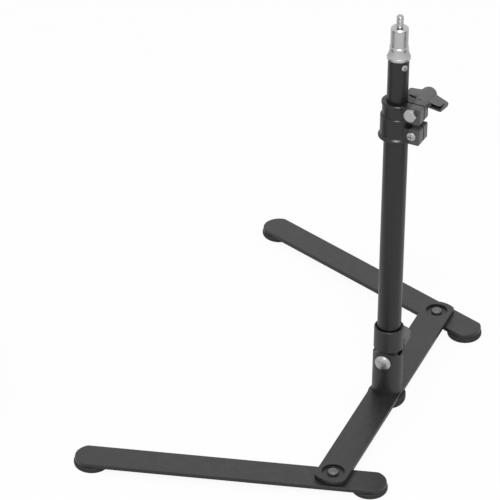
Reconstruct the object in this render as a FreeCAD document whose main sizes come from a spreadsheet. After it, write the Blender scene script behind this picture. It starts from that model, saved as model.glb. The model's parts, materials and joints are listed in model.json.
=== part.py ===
import FreeCAD, Part
import math
import os
import Sketcher

# Folding tabletop light stand.  Two flat legs swing under a flat base bar, a tube post tilts on a
# knuckle in the middle of the bar, and an inner tube with a 5/8 inch spigot slides in a clamp on top.
# Millimetres.  The origin is on the floor under the post, +Z is up and the base bar lies along Y.

SIZES = {
    # flat steel bars of the base
    "bar_half_width": 14.75,
    "bar_thickness": 4.2,
    "base_end_radius": 22.0,
    "leg_end_radius": 16.5,
    "bar_corner_radius": 5.0,
    "bar_edge_round": 0.5,
    "base_bar_end": 137.5,
    "pivot_spacing": 143.8,
    "leg_long_end": 219.3,
    "leg_heel_end": 32.5,
    "leg_offset": 3.6,
    "front_leg_angle": 193.2,
    "rear_leg_angle": 156.0,
    # rubber feet and their screws
    "foot_height": 5.9,
    "foot_radius": 16.6,
    "foot_overhang": 1.0,
    "foot_edge_round": 1.2,
    "foot_tread_round": 3.4,
    "centre_tread_round": 6.0,
    "centre_foot_radius": 17.8,
    "foot_screw_radius": 2.0,
    "foot_screw_head": 3.8,
    "foot_screw_sink": 0.5,
    "foot_screw_bite": 3.0,
    # leg pivots
    "recess_radius": 10.5,
    "recess_depth": 2.3,
    "pivot_screw_radius": 2.5,
    "pivot_head_radius": 5.2,
    "pivot_head_height": 3.4,
    "pivot_washer_radius": 8.0,
    "pivot_washer_height": 0.4,
    "pivot_nut_flats": 8.0,
    "pivot_nut_height": 2.7,
    # tilting knuckle
    "knuckle_radius": 14.2,
    "tilt_height": 51.2,
    "tilt_limit": 30.0,
    "cheek_radius": 10.6,
    "boss_radius": 7.7,
    "boss_face": 14.6,
    "tongue_half": 4.5,
    "tongue_radius": 10.4,
    "neck_half": 8.0,
    "slot_play": 0.1,
    "socket_gap": 0.2,
    "socket_radius": 13.8,
    "socket_floor": 65.0,
    "socket_rim": 84.2,
    "socket_mouth_radius": 12.5,
    "socket_mouth_depth": 2.5,
    "tilt_bolt_radius": 3.0,
    "tilt_head_radius": 7.6,
    "tilt_head_height": 3.6,
    "square_neck_half": 3.0,
    "square_neck_depth": 3.0,
    "tilt_bolt_reach": 35.5,
    "base_screw_radius": 3.0,
    "base_screw_head": 5.0,
    "base_screw_head_height": 4.0,
    "base_screw_bite": 12.0,
    # knobs
    "running_play": 0.05,
    "knob_hub_radius": 6.2,
    "knob_play": 0.15,
    "tilt_knob_radius": 8.4,
    "tilt_knob_height": 27.0,
    "tilt_knob_hub_height": 9.0,
    "tilt_flute_radius": 3.2,
    "tilt_flute_centre": 10.2,
    "insert_radius": 4.5,
    "insert_height": 10.0,
    "knob_bore_depth": 21.0,
    "wing_half_length": 19.8,
    "wing_low": 6.0,
    "wing_high": 21.5,
    "wing_tip_low": 7.0,
    "wing_tip_high": 20.0,
    "wing_root_half": 4.2,
    "wing_tip_half": 2.9,
    "wing_round": 1.6,
    "wing_droop": 1.2,
    "wing_turn": 12.0,
    "clamp_knob_height": 25.0,
    # tubes
    "lower_tube_radius": 11.1,
    "lower_tube_bore": 10.1,
    "upper_tube_radius": 9.525,
    "upper_tube_bore": 8.0,
    "upper_tube_low": 123.2,
    "upper_tube_top": 365.2,
    "bush_height": 12.0,
    "bush_plug_height": 14.0,
    # clamp on top of the lower tube
    "clamp_turn": -4.0,
    "clamp_low": 286.8,
    "clamp_lip_top": 289.6,
    "clamp_lip_radius": 16.3,
    "clamp_ring_radius": 14.8,
    "clamp_step": 309.4,
    "clamp_neck_radius": 13.4,
    "clamp_rim_low": 320.1,
    "clamp_rim_radius": 14.1,
    "clamp_top": 323.0,
    "clamp_shoulder": 307.7,
    "ear_reach": 26.2,
    "ear_half": 9.75,
    "ear_slot_half": 0.9,
    "ear_round": 1.0,
    "lower_ear_low": 287.2,
    "lower_ear_high": 302.0,
    "upper_ear_low": 308.0,
    "clamp_bolt_out": 17.5,
    "clamp_bolt_height": 317.0,
    "clamp_bolt_radius": 3.0,
    "clamp_hex_flats": 11.0,
    "clamp_hex_height": 4.2,
    "clamp_hex_dome": 1.0,
    "clamp_bolt_reach": 31.0,
    "clamp_washer_radius": 6.6,
    "clamp_washer_height": 1.2,
    "sleeve_screw_out": 18.9,
    "sleeve_screw_height": 295.8,
    "sleeve_screw_radius": 2.5,
    "sleeve_head_radius": 4.4,
    "sleeve_head_height": 3.0,
    "sleeve_nut_flats": 8.0,
    "sleeve_nut_height": 4.0,
    # spigot
    "spigot_radius": 7.9375,
    "spigot_top": 396.0,
    "spigot_low": 339.2,
    "collar_radius": 10.6,
    "collar_low": 365.6,
    "collar_high": 367.6,
    "collar_neck_radius": 9.2,
    "collar_neck_low": 371.1,
    "collar_top": 377.6,
    "collar_lip_radius": 8.5,
    "spigot_chamfer": 1.2,
    "stud_radius": 3.175,
    "stud_core_radius": 2.6,
    "stud_top": 407.1,
    "stud_low": 383.0,
    "spigot_screw_height": 359.6,
    "spigot_screw_angle": -40.0,
    "spigot_screw_radius": 1.5,
    "spigot_screw_length": 6.0,
    "spigot_screw_head": 2.95,
    "spigot_screw_head_height": 1.9,
    # shared details of the fasteners
    "hole_play": 0.1,
    "cross_width": 0.22,
    "cross_reach": 0.62,
    "cross_depth": 0.5,
}

doc = FreeCAD.newDocument("folding_light_stand")
sheet = doc.addObject("Spreadsheet::Sheet", "Sizes")
for row, (alias, number) in enumerate(SIZES.items(), start=1):
    sheet.set("A%d" % row, alias)
    sheet.set("B%d" % row, str(number))
    sheet.setAlias("B%d" % row, alias)
doc.recompute()

COSINE_30 = 0.8660254037844386


class Length:
    """A number together with the sheet formula that gives it."""

    def __init__(self, number, formula):
        self.number = float(number)
        self.formula = formula

    def __add__(self, other):
        other = length(other)
        return Length(self.number + other.number, "(%s + %s)" % (self.formula, other.formula))

    def __sub__(self, other):
        other = length(other)
        return Length(self.number - other.number, "(%s - %s)" % (self.formula, other.formula))

    def __mul__(self, factor):
        factor = length(factor)
        return Length(self.number * factor.number, "(%s * %s)" % (self.formula, factor.formula))

    def __truediv__(self, factor):
        factor = length(factor)
        return Length(self.number / factor.number, "(%s / %s)" % (self.formula, factor.formula))

    def __neg__(self):
        return Length(-self.number, "(0 - %s)" % self.formula)


def length(value):
    """A Length as it is, or a plain number turned into one."""
    if isinstance(value, Length):
        return value
    return Length(value, "%.10g" % value)


def size(alias):
    """The sheet's value of that name."""
    return Length(sheet.get(alias), "Sizes." + alias)


def sine(angle):
    return Length(math.sin(math.radians(angle.number)), "sin(%s)" % angle.formula)


def cosine(angle):
    return Length(math.cos(math.radians(angle.number)), "cos(%s)" % angle.formula)


ZERO = length(0.0)
NODES = []


# ---------------------------------------------------------------- helpers for bodies and sketches

def new_body(label):
    """A PartDesign body that becomes one node of that name."""
    body = doc.addObject("PartDesign::Body", label)
    body.Label = label
    NODES.append(body)
    return body


def hidden_body(label):
    """A body that only goes into a group."""
    body = new_body(label)
    NODES.remove(body)
    return body


def group(label, members):
    """Several equal pieces in one node."""
    compound = doc.addObject("Part::Compound", label)
    compound.Label = label
    compound.Links = members
    NODES.append(compound)
    return compound


def place(thing, x=ZERO, y=ZERO, z=ZERO, axis=(0, 0, 1), angle=None):
    """Put a body at x, y, z, turned by angle degrees about axis."""
    turn = angle.number if angle else 0.0
    rotation = FreeCAD.Rotation(FreeCAD.Vector(*axis), turn)
    thing.Placement = FreeCAD.Placement(FreeCAD.Vector(0, 0, 0), rotation)
    thing.setExpression(".Placement.Base.x", x.formula)
    thing.setExpression(".Placement.Base.y", y.formula)
    thing.setExpression(".Placement.Base.z", z.formula)
    if angle:
        thing.setExpression(".Placement.Rotation.Angle", angle.formula)


def origin_plane(body, role):
    return [plane for plane in body.Origin.OriginFeatures if plane.Role == role][0]


def new_sketch(body, name, role="XY_Plane", offset=ZERO):
    """An empty sketch on one of the body's origin planes, moved along the plane's normal by offset."""
    sketch = body.newObject("Sketcher::SketchObject", body.Label + "_" + name)
    sketch.AttachmentSupport = [(origin_plane(body, role), "")]
    sketch.MapMode = "FlatFace"
    sketch.setExpression(".AttachmentOffset.Base.z", offset.formula)
    return sketch


def pin(sketch, geometry, vertex, place_xy):
    """Fix a vertex at two lengths from the sketch's origin."""
    for kind, value in zip(("DistanceX", "DistanceY"), place_xy):
        if value is None:
            continue
        index = sketch.addConstraint(Sketcher.Constraint(kind, -1, 1, geometry, vertex, value.number))
        sketch.setExpression("Constraints[%d]" % index, value.formula)


def set_radius(sketch, geometry, radius):
    index = sketch.addConstraint(Sketcher.Constraint("Radius", geometry, radius.number))
    sketch.setExpression("Constraints[%d]" % index, radius.formula)


def draw_polygon(sketch, corners):
    """A closed outline of straight lines through the corners."""
    first = sketch.GeometryCount
    points = [FreeCAD.Vector(across.number, along.number, 0) for across, along in corners]
    for start, end in zip(points, points[1:] + points[:1]):
        sketch.addGeometry(Part.LineSegment(start, end), False)
    for index, corner in enumerate(corners):
        following = (index + 1) % len(corners)
        sketch.addConstraint(Sketcher.Constraint("Coincident", first + index, 2, first + following, 1))
        pin(sketch, first + index, 1, corner)
    return first


def draw_circle(sketch, radius, centre=(ZERO, ZERO)):
    middle = FreeCAD.Vector(centre[0].number, centre[1].number, 0)
    index = sketch.addGeometry(Part.Circle(middle, FreeCAD.Vector(0, 0, 1), radius.number), False)
    set_radius(sketch, index, radius)
    pin(sketch, index, 3, centre)
    return index


def draw_rectangle(sketch, low, high):
    """A rectangle between two opposite corners."""
    return draw_polygon(sketch, [low, (high[0], low[1]), high, (low[0], high[1])])


def draw_hexagon(sketch, flats):
    """A hexagon with that distance across its flats, corners on the sketch's first axis."""
    side = flats / (2 * COSINE_30)
    half = flats / 2
    right = [(side, ZERO), (side / 2, half), (-(side / 2), half)]
    left = [(-side, ZERO), (-(side / 2), -half), (side / 2, -half)]
    return draw_polygon(sketch, right + left)


def feature(body, kind, name, sketch, amount=None, symmetric=False, backwards=False):
    """A Pad or Pocket of the sketch; with no amount it runs through everything."""
    result = body.newObject("PartDesign::" + kind, body.Label + "_" + name)
    result.Profile = sketch
    result.Midplane = symmetric
    result.Reversed = backwards
    if amount is None:
        result.Type = "ThroughAll"
    else:
        result.setExpression("Length", amount.formula)
    sketch.Visibility = False
    doc.recompute()
    return result


def pad(body, name, sketch, amount, **options):
    return feature(body, "Pad", name, sketch, amount, **options)


def pocket(body, name, sketch, amount=None, **options):
    """A Pocket that has to remove material."""
    before = body.Shape.Volume
    result = feature(body, "Pocket", name, sketch, amount, **options)
    if body.Shape.Volume >= before:
        raise RuntimeError(body.Label + "_" + name + " cuts nothing")
    return result


def turned(body, name, corners, kind="Revolution"):
    """A turned shape: corners are pairs of radius and height, spun about the body's Z axis."""
    sketch = new_sketch(body, name + "_profile", "XZ_Plane")
    draw_polygon(sketch, corners)
    result = body.newObject("PartDesign::" + kind, body.Label + "_" + name)
    result.Profile = sketch
    result.ReferenceAxis = (sketch, ["V_Axis"])
    result.Angle = 360.0
    sketch.Visibility = False
    doc.recompute()
    return result


def edges_where(shape, test):
    """Names of the edges whose bounding box passes the test."""
    return ["Edge%d" % (index + 1) for index, edge in enumerate(shape.Edges) if test(edge)]


def dress(body, kind, name, test, amount):
    """A Fillet or Chamfer on the edges of the tip that pass the test."""
    tip = body.Tip
    names = edges_where(tip.Shape, test)
    if not names:
        raise RuntimeError(body.Label + "_" + name + " finds no edge")
    result = body.newObject("PartDesign::" + kind, body.Label + "_" + name)
    result.Base = (tip, names)
    result.setExpression("Radius" if kind == "Fillet" else "Size", amount.formula)
    doc.recompute()
    return result


def level_edge(height, low_reach=0.0, high_reach=1e9):
    """A test for edges at one height whose far side is between two distances from the Z axis."""
    def test(edge):
        box = edge.BoundBox
        level = abs(box.ZMin - height.number) < 1e-4 and abs(box.ZMax - height.number) < 1e-4
        reach = max(abs(box.XMin), abs(box.XMax), abs(box.YMin), abs(box.YMax))
        return level and low_reach <= reach <= high_reach
    return test


# ---------------------------------------------------------------- fasteners, axis on Z, head up

def cross_recess(body, head_radius, head_top):
    """The crossed slot in a screw's head."""
    sketch = new_sketch(body, "cross", "XY_Plane", head_top)
    reach = head_radius * size("cross_reach")
    half = head_radius * size("cross_width") / 2
    arm = [(reach, -half), (reach, half), (half, half), (half, reach), (-half, reach), (-half, half)]
    arm += [(-across, -along) for across, along in arm]
    draw_polygon(sketch, arm)
    pocket(body, "cross_cut", sketch, head_top * size("cross_depth"))


def domed_screw(body, shank_radius, shank_length, head_radius, head_height):
    """A screw with a plain domed head: the underside of its head is at height 0."""
    turned(body, "blank", [
        (ZERO, -shank_length),
        (shank_radius - 0.4, -shank_length),
        (shank_radius, -shank_length + 0.4),
        (shank_radius, ZERO),
        (head_radius, ZERO),
        (head_radius, head_height * 0.45),
        (head_radius * 0.9, head_height * 0.75),
        (head_radius * 0.68, head_height * 0.94),
        (head_radius * 0.4, head_height),
        (ZERO, head_height),
    ])


def pan_screw(body, shank_radius, shank_length, head_radius, head_height):
    """A domed screw with a crossed slot in its head."""
    domed_screw(body, shank_radius, shank_length, head_radius, head_height)
    cross_recess(body, head_radius, head_height)


def countersunk_screw(body, shank_radius, shank_length, head_radius):
    """A countersunk screw: the flat of its head is at height 0 and it points down."""
    cone = head_radius - shank_radius
    turned(body, "blank", [
        (ZERO, -shank_length),
        (shank_radius - 0.3, -shank_length),
        (shank_radius, -shank_length + 0.3),
        (shank_radius, -cone),
        (head_radius, ZERO),
        (ZERO, ZERO),
    ])


def hex_nut(body, flats, height, bore):
    sketch = new_sketch(body, "outline")
    draw_hexagon(sketch, flats)
    draw_circle(sketch, bore)
    pad(body, "blank", sketch, height)


def washer(body, outer, bore, height):
    sketch = new_sketch(body, "outline")
    draw_circle(sketch, outer)
    draw_circle(sketch, bore)
    pad(body, "plate", sketch, height)


# ---------------------------------------------------------------- flat bars of the base

def bar_outline(sketch, low_end, high_end, across, radius):
    """A flat bar along the sketch's first axis, between end arcs centred at those places."""
    half = size("bar_half_width")
    run = (radius.number ** 2 - half.number ** 2) ** 0.5
    start = FreeCAD.Vector(low_end.number - run, across.number, 0)
    end = FreeCAD.Vector(high_end.number + run, across.number, 0)
    side = FreeCAD.Vector(0, half.number, 0)
    upper = sketch.addGeometry(Part.LineSegment(start + side, end + side), False)
    lower = sketch.addGeometry(Part.LineSegment(end - side, start - side), False)
    high_tip = FreeCAD.Vector(high_end.number + radius.number, across.number, 0)
    low_tip = FreeCAD.Vector(low_end.number - radius.number, across.number, 0)
    high_arc = sketch.addGeometry(Part.Arc(end - side, high_tip, end + side), False)
    low_arc = sketch.addGeometry(Part.Arc(start + side, low_tip, start - side), False)
    for arc, line_up, line_up_end, line_down, line_down_end, centre in (
            (high_arc, upper, 2, lower, 1, high_end), (low_arc, upper, 1, lower, 2, low_end)):
        set_radius(sketch, arc, radius)
        pin(sketch, arc, 3, (centre, across))
        first_end = 2 if arc == high_arc else 1
        sketch.addConstraint(Sketcher.Constraint("Coincident", arc, first_end, line_up, line_up_end))
        sketch.addConstraint(Sketcher.Constraint("Coincident", arc, 3 - first_end, line_down, line_down_end))
        pin(sketch, arc, first_end, (None, across + half))
        pin(sketch, arc, 3 - first_end, (None, across - half))


def flat_bar(body, low_end, high_end, across, end_radius):
    """A flat bar with blunt rounded ends and soft rims, along X, with its underside at height 0."""
    outline = new_sketch(body, "outline")
    bar_outline(outline, low_end, high_end, across, end_radius)
    pad(body, "plate", outline, size("bar_thickness"))
    dress(body, "Fillet", "corners", lambda edge: edge.BoundBox.ZLength > 1, size("bar_corner_radius"))
    dress(body, "Fillet", "rims", lambda edge: edge.BoundBox.ZLength < 1e-4, size("bar_edge_round"))


def bar_level():
    """Height of the base bar's underside."""
    return size("foot_height") + size("bar_thickness") + size("pivot_washer_height")


def base_bar():
    body = new_body("base_bar")
    flat_bar(body, -size("base_bar_end"), size("base_bar_end"), ZERO, size("base_end_radius"))
    recesses = new_sketch(body, "recesses", "XY_Plane", size("bar_thickness"))
    holes = new_sketch(body, "holes", "XY_Plane", size("bar_thickness"))
    for centre in (-size("pivot_spacing"), size("pivot_spacing")):
        draw_circle(recesses, size("recess_radius"), (centre, ZERO))
        draw_circle(holes, size("pivot_screw_radius") + size("hole_play"), (centre, ZERO))
    draw_circle(holes, size("base_screw_radius") + size("hole_play"))
    pocket(body, "pivot_recesses", recesses, size("recess_depth"))
    pocket(body, "screw_holes", holes)
    place(body, z=bar_level(), angle=length(90.0))


def leg_across(side):
    """How far a leg's centre line lies from its pivot, across the leg and away from the post."""
    return size("leg_offset") * -side


def leg(label, side, angle):
    """One folding leg; side is -1 for the front pivot and 1 for the rear one."""
    body = new_body(label)
    flat_bar(body, -size("leg_heel_end"), size("leg_long_end"), leg_across(side), size("leg_end_radius"))
    hole = new_sketch(body, "pivot_hole", "XY_Plane", size("bar_thickness"))
    draw_circle(hole, size("pivot_screw_radius") + size("running_play"))
    pocket(body, "pivot_bore", hole)
    taps = new_sketch(body, "foot_taps")
    for centre in foot_places():
        draw_circle(taps, size("foot_screw_radius"), (centre, leg_across(side)))
    pocket(body, "foot_threads", taps, size("foot_screw_bite"), backwards=True)
    place(body, y=size("pivot_spacing") * side, z=size("foot_height"), angle=angle)


def foot_places():
    """Where the two feet of a leg sit along it."""
    return [-size("leg_heel_end") - size("foot_overhang"), size("leg_long_end") + size("foot_overhang")]


def leg_point(side, angle, along):
    """Where a point on a leg's centre line is on the floor."""
    across = leg_across(side)
    x = along * cosine(angle) - across * sine(angle)
    y = size("pivot_spacing") * side + along * sine(angle) + across * cosine(angle)
    return x, y


def leg_foot(label, side, angle, along):
    """A rubber foot under one end of a leg."""
    body = new_body(label)
    outer = size("foot_radius")
    height = size("foot_height")
    bore = size("foot_screw_radius")
    head = size("foot_screw_head")
    sink = size("foot_screw_sink")
    turned(body, "pad", [
        (head, ZERO), (outer, ZERO), (outer, height), (bore, height), (bore, sink + head - bore),
        (head, sink),
    ])
    dress(body, "Fillet", "tread", level_edge(ZERO, 10.0), size("foot_tread_round"))
    dress(body, "Fillet", "rim", level_edge(height, 10.0), size("foot_edge_round"))
    x, y = leg_point(side, angle, along)
    place(body, x=x, y=y, angle=angle)


def leg_foot_screws(label, side, angle):
    """The two screws that hold a leg's feet from below."""
    members = []
    for index, along in enumerate(foot_places()):
        body = hidden_body("%s_%d" % (label, index + 1))
        reach = size("foot_height") + size("foot_screw_bite") - size("foot_screw_sink")
        countersunk_screw(body, size("foot_screw_radius"), reach, size("foot_screw_head"))
        x, y = leg_point(side, angle, along)
        place(body, x=x, y=y, z=size("foot_screw_sink"), axis=(1, 0, 0), angle=length(180.0))
        members.append(body)
    group(label, members)


def centre_foot():
    """The taller rubber foot under the post, a cap pushed over the head of the knuckle's screw."""
    body = new_body("centre_foot")
    outer = size("centre_foot_radius")
    top = bar_level()
    well = size("base_screw_head") + size("hole_play")
    well_floor = top - size("base_screw_head_height") - size("hole_play")
    turned(body, "pad", [
        (ZERO, ZERO), (outer, ZERO), (outer, top), (well, top), (well, well_floor), (ZERO, well_floor),
    ])
    dress(body, "Fillet", "tread", level_edge(ZERO, 10.0), size("centre_tread_round"))
    dress(body, "Fillet", "rim", level_edge(top, 10.0), size("foot_edge_round"))


def base_screw():
    """The cap screw that goes up through the bar into the knuckle."""
    body = new_body("knuckle_screw")
    head = size("base_screw_head")
    height = size("base_screw_head_height")
    shank = size("base_screw_radius")
    reach = size("bar_thickness") + size("base_screw_bite")
    turned(body, "blank", [
        (ZERO, -height), (head - 0.4, -height), (head, -height + 0.4), (head, ZERO), (shank, ZERO),
        (shank, reach - 0.4), (shank - 0.4, reach), (ZERO, reach),
    ])
    socket = new_sketch(body, "hex_socket", "XY_Plane", -height)
    draw_hexagon(socket, head)
    pocket(body, "hex_drive", socket, height * 0.6, backwards=True)
    place(body, z=bar_level())


def pivot_fasteners():
    """Screw, washer and nut of both leg pivots."""
    screws, washers, nuts = [], [], []
    floor = bar_level() + size("bar_thickness") - size("recess_depth")
    reach = floor - size("foot_height") + size("pivot_nut_height")
    for index, side in enumerate((-1, 1)):
        y = size("pivot_spacing") * side
        screw = hidden_body("pivot_screw_%d" % (index + 1))
        domed_screw(screw, size("pivot_screw_radius"), reach, size("pivot_head_radius"),
                    size("pivot_head_height"))
        place(screw, y=y, z=floor)
        screws.append(screw)
        spacer = hidden_body("pivot_washer_%d" % (index + 1))
        washer(spacer, size("pivot_washer_radius"), size("pivot_screw_radius") + size("hole_play"),
               size("pivot_washer_height"))
        place(spacer, y=y, z=size("foot_height") + size("bar_thickness"))
        washers.append(spacer)
        nut = hidden_body("pivot_nut_%d" % (index + 1))
        hex_nut(nut, size("pivot_nut_flats"), size("pivot_nut_height"), size("pivot_screw_radius"))
        place(nut, y=y, z=size("foot_height") - size("pivot_nut_height"))
        nuts.append(nut)
    group("pivot_screws", screws)
    group("pivot_washers", washers)
    group("pivot_nuts", nuts)


# ---------------------------------------------------------------- tilting knuckle

def lower_knuckle():
    """The fixed half of the knuckle: a column with two round cheeks on either side of a slot."""
    body = new_body("lower_knuckle")
    base = bar_level() + size("bar_thickness")
    pivot = size("tilt_height")
    cheek = size("cheek_radius")
    column = new_sketch(body, "column", "XY_Plane", base)
    draw_circle(column, size("knuckle_radius"))
    pad(body, "column_pad", column, pivot + cheek - base)
    shoulder_cut(body, pivot, cheek)
    boss = new_sketch(body, "boss", "XZ_Plane")
    draw_circle(boss, size("boss_radius"), (ZERO, pivot))
    pad(body, "boss_pad", boss, size("boss_face") * 2, symmetric=True)
    slot_cut(body, pivot)
    bore = new_sketch(body, "bolt_hole", "XZ_Plane")
    draw_circle(bore, size("tilt_bolt_radius") + size("hole_play"), (ZERO, pivot))
    pocket(body, "bolt_bore", bore, size("boss_face") * 3, symmetric=True)
    square = new_sketch(body, "square", "XZ_Plane", size("boss_face"))
    half = size("square_neck_half") + size("hole_play")
    draw_rectangle(square, (-half, pivot - half), (half, pivot + half))
    pocket(body, "square_seat", square, size("square_neck_depth") + size("hole_play"))
    thread = new_sketch(body, "base_thread", "XY_Plane", base)
    draw_circle(thread, size("base_screw_radius"))
    pocket(body, "base_tap", thread, size("base_screw_bite"), backwards=True)


def shoulder_cut(body, pivot, cheek):
    """Round the top of the column over the pivot and slope its shoulders, which stop the tilt."""
    limit = size("tilt_limit")
    outside = size("knuckle_radius") + 1
    top = pivot + cheek + 1
    touch = (cheek * sine(limit), pivot + cheek * cosine(limit))
    drop = (touch[0] - outside) * sine(limit) / cosine(limit)
    sketch = new_sketch(body, "shoulders", "XZ_Plane")
    corners = [(touch[0], touch[1]), (outside, touch[1] + drop), (outside, top), (-outside, top),
               (-outside, touch[1] + drop), (-touch[0], touch[1])]
    points = [FreeCAD.Vector(across.number, along.number, 0) for across, along in corners]
    for start, end in zip(points[:-1], points[1:]):
        sketch.addGeometry(Part.LineSegment(start, end), False)
    crown = FreeCAD.Vector(0, pivot.number + cheek.number, 0)
    arc = sketch.addGeometry(Part.Arc(points[0], crown, points[-1]), False)
    last = arc - 1
    for index in range(last):
        sketch.addConstraint(Sketcher.Constraint("Coincident", index, 2, index + 1, 1))
    for index, corner in enumerate(corners[1:-1]):
        pin(sketch, index + 1, 1, corner)
    set_radius(sketch, arc, cheek)
    pin(sketch, arc, 3, (ZERO, pivot))
    sketch.addConstraint(Sketcher.Constraint("Coincident", arc, 1, 0, 1))
    sketch.addConstraint(Sketcher.Constraint("Coincident", arc, 2, last, 2))
    pin(sketch, arc, 1, (touch[0], None))
    pin(sketch, arc, 2, (-touch[0], None))
    pocket(body, "shoulder_cut", sketch, outside * 3, symmetric=True)


def slot_cut(body, pivot):
    """The slot for the tongue: a round pocket with a mouth that lets the neck swing."""
    limit = size("tilt_limit")
    width = (size("tongue_half") + size("slot_play")) * 2
    well = new_sketch(body, "slot_well", "XZ_Plane")
    draw_circle(well, size("tongue_radius") + size("socket_gap") * 2, (ZERO, pivot))
    pocket(body, "slot_well_cut", well, width, symmetric=True)
    side = size("neck_half") + size("socket_gap") * 2
    rise = size("cheek_radius") * 2
    low = (side * cosine(limit), pivot - side * sine(limit))
    high = (low[0] + rise * sine(limit), low[1] + rise * cosine(limit))
    mouth = new_sketch(body, "slot_mouth", "XZ_Plane")
    draw_polygon(mouth, [low, high, (-high[0], high[1]), (-low[0], low[1])])
    pocket(body, "slot_mouth_cut", mouth, width, symmetric=True)


def upper_knuckle():
    """The tilting half: a tongue on the bolt and a socket for the lower tube."""
    body = new_body("upper_knuckle")
    pivot = size("tilt_height")
    bottom = pivot + size("cheek_radius") + size("socket_gap")
    shell = size("socket_radius")
    bore = size("lower_tube_radius")
    mouth = size("socket_mouth_radius")
    rim = size("socket_rim")
    turned(body, "socket", [
        (ZERO, bottom), (shell, bottom), (shell, rim - 0.6), (shell - 0.5, rim), (mouth, rim),
        (mouth, rim - size("socket_mouth_depth")), (bore, rim - size("socket_mouth_depth")),
        (bore, size("socket_floor")), (ZERO, size("socket_floor")),
    ])
    width = size("tongue_half") * 2
    neck = new_sketch(body, "neck", "XZ_Plane")
    draw_rectangle(neck, (-size("neck_half"), pivot), (size("neck_half"), bottom))
    pad(body, "neck_pad", neck, width, symmetric=True)
    disc = new_sketch(body, "tongue", "XZ_Plane")
    draw_circle(disc, size("tongue_radius"), (ZERO, pivot))
    pad(body, "tongue_pad", disc, width, symmetric=True)
    hole = new_sketch(body, "bolt_hole", "XZ_Plane")
    draw_circle(hole, size("tilt_bolt_radius") + size("running_play"), (ZERO, pivot))
    pocket(body, "bolt_bore", hole, width * 2, symmetric=True)


def tilt_bolt():
    """A carriage bolt with a broad domed head, its axis turned to lie along Y."""
    body = new_body("tilt_bolt")
    head = size("tilt_head_radius")
    height = size("tilt_head_height")
    shank = size("tilt_bolt_radius")
    reach = size("boss_face") + size("tilt_bolt_reach")
    turned(body, "blank", [
        (ZERO, -reach), (shank - 0.5, -reach), (shank, -reach + 0.5), (shank, ZERO), (head, ZERO),
        (head, height * 0.12), (head * 0.93, height * 0.38), (head * 0.8, height * 0.62),
        (head * 0.6, height * 0.83), (head * 0.35, height * 0.96), (head * 0.15, height), (ZERO, height),
    ])
    neck = new_sketch(body, "square_neck")
    half = size("square_neck_half")
    draw_rectangle(neck, (-half, -half), (half, half))
    pad(body, "neck_pad", neck, size("square_neck_depth"), backwards=True)
    place(body, y=-size("boss_face"), z=size("tilt_height"), axis=(1, 0, 0), angle=length(90.0))


def knob_blank_bores(body):
    """Seat of the metal insert and the clearance hole beyond it, from the knob's foot at height 0."""
    seat = new_sketch(body, "insert_seat")
    draw_circle(seat, size("insert_radius"))
    pocket(body, "insert_cut", seat, size("insert_height"), backwards=True)
    bore = new_sketch(body, "bolt_room")
    draw_circle(bore, size("clamp_bolt_radius") + size("hole_play") * 3)
    pocket(body, "bolt_room_cut", bore, size("knob_bore_depth"), backwards=True)


def knob_insert(label, knob_place):
    """The threaded metal insert moulded into a knob's foot."""
    body = new_body(label)
    outer = size("insert_radius")
    height = size("insert_height")
    bore = size("clamp_bolt_radius") + size("running_play")
    turned(body, "sleeve", [
        (bore, ZERO), (outer, ZERO), (outer, height * 0.4), (outer - 0.4, height * 0.45),
        (outer - 0.4, height * 0.55), (outer, height * 0.6), (outer, height), (bore, height),
    ])
    knob_place(body)


def place_tilt_knob(body):
    foot = size("boss_face") + size("clamp_washer_height") + size("knob_play")
    place(body, y=foot, z=size("tilt_height"), axis=(1, 0, 0), angle=length(-90.0))


def tilt_knob():
    """A fluted knob on the tilt bolt, axis on Z with its foot at height 0."""
    body = new_body("tilt_knob")
    hub = size("knob_hub_radius")
    grip = size("tilt_knob_radius")
    shoulder = size("tilt_knob_hub_height")
    top = size("tilt_knob_height")
    turned(body, "blank", [
        (ZERO, ZERO), (hub, ZERO), (hub, shoulder), (grip - 0.8, shoulder + 0.2), (grip, shoulder + 1.2),
        (grip, top - 1.6), (grip - 1.4, top - 0.3), (hub - 1, top), (ZERO, top),
    ])
    flute = new_sketch(body, "flute", "XY_Plane", top)
    draw_circle(flute, size("tilt_flute_radius"), (size("tilt_flute_centre"), ZERO))
    cut = pocket(body, "flute_cut", flute, top - shoulder)
    pattern = body.newObject("PartDesign::PolarPattern", "tilt_knob_flutes")
    pattern.Originals = [cut]
    pattern.Axis = (flute, ["N_Axis"])
    pattern.Angle = 360.0
    pattern.Occurrences = 5
    body.Tip = pattern
    doc.recompute()
    knob_blank_bores(body)
    place_tilt_knob(body)


def tilt_washer():
    body = new_body("tilt_washer")
    washer(body, size("clamp_washer_radius"), size("tilt_bolt_radius") + size("hole_play"),
           size("clamp_washer_height"))
    place(body, y=size("boss_face"), z=size("tilt_height"), axis=(1, 0, 0), angle=length(-90.0))


# ---------------------------------------------------------------- post

def tube(label, outer, bore, low, high):
    """A round tube with softened rims."""
    body = new_body(label)
    turned(body, "wall", [
        (bore, low), (outer - 0.3, low), (outer, low + 0.3), (outer, high - 0.3), (outer - 0.3, high),
        (bore, high),
    ])
    return body


def lower_tube():
    tube("lower_tube", size("lower_tube_radius"), size("lower_tube_bore"), size("socket_floor"),
         size("clamp_shoulder"))


def upper_tube():
    """The sliding inner tube, drilled near its top for the spigot's screw."""
    body = tube("upper_tube", size("upper_tube_radius"), size("upper_tube_bore"), size("upper_tube_low"),
                size("upper_tube_top"))
    hole = new_sketch(body, "screw_hole", "YZ_Plane")
    draw_circle(hole, size("spigot_screw_radius") + size("hole_play"), (ZERO, size("spigot_screw_height")))
    pocket(body, "screw_bore", hole, size("upper_tube_radius") + 1, backwards=True)
    place(body, angle=size("spigot_screw_angle"))


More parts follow.
